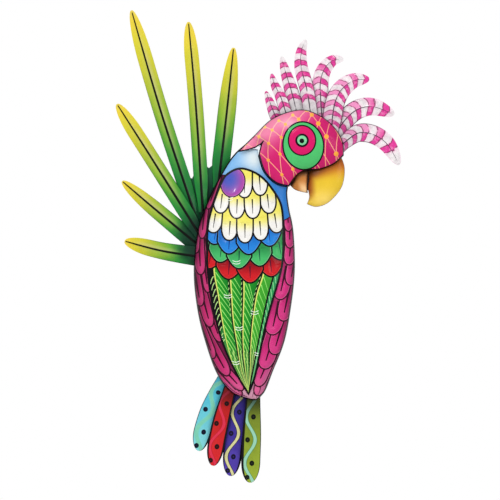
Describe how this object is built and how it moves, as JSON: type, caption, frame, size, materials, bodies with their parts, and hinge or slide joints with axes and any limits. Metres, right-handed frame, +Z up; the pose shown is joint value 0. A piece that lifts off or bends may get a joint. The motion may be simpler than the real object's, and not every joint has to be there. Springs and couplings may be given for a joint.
{
  "type": "wrought iron parrot wall sculpture",
  "caption": "Flat-backed parrot wall ornament in pressed, painted sheet iron, with a fanned crest, a palm frond and a hanging ring behind the neck.",
  "frame": {"origin": "on the rear face of the back strip, where it lies on the wall, behind the shoulder", "axes": "+Y into the wall, +Z up, +X to the right seen from the front"},
  "size_m": [0.2272, 0.0292, 0.3772],
  "materials": {
    "body_paint": "gloss enamel print, magenta scales with dark outlines and a blue neck",
    "wing_paint": "gloss enamel print, rows of painted feathers",
    "head_paint": "gloss enamel print, pink with a pale lattice",
    "beak_paint": "gloss enamel, yellow shaded to orange",
    "crest_paint": "gloss enamel print, white with pink bars",
    "leaf_paint": "gloss enamel, green shaded to yellow",
    "web_paint": "gloss enamel, dark green",
    "tail_paint_1": "gloss enamel print, turquoise",
    "tail_paint_2": "gloss enamel print, red",
    "tail_paint_3": "gloss enamel print, violet",
    "tail_paint_4": "gloss enamel print, olive",
    "iron_black": "satin black paint on iron"
  },
  "bodies": {
    "root": {"body_shell": "body_paint", "wing_panel": "wing_paint", "head_shell": "head_paint", "upper_beak": "beak_paint", "lower_beak": "beak_paint", "crest_feather_1": "crest_paint", "crest_feather_2": "crest_paint", "crest_feather_3": "crest_paint", "crest_feather_4": "crest_paint", "crest_feather_5": "crest_paint", "crest_feather_6": "crest_paint", "crest_feather_7": "crest_paint", "crest_feather_8": "crest_paint", "palm_leaf_1": "leaf_paint", "palm_leaf_2": "leaf_paint", "palm_leaf_3": "leaf_paint", "palm_leaf_4": "leaf_paint", "palm_leaf_5": "leaf_paint", "palm_leaf_6": "leaf_paint", "tail_feather_1": "tail_paint_1", "tail_feather_2": "tail_paint_2", "tail_feather_3": "tail_paint_3", "tail_feather_4": "tail_paint_4", "palm_base": "web_paint", "tail_plate": "iron_black", "head_plate": "iron_black", "back_strip": "iron_black", "hanging_eye": "iron_black", "body_post_upper": "iron_black", "body_post_lower": "iron_black", "head_post_1": "iron_black", "head_post_2": "iron_black", "head_stud": "iron_black"}
  },
  "joints": []
}
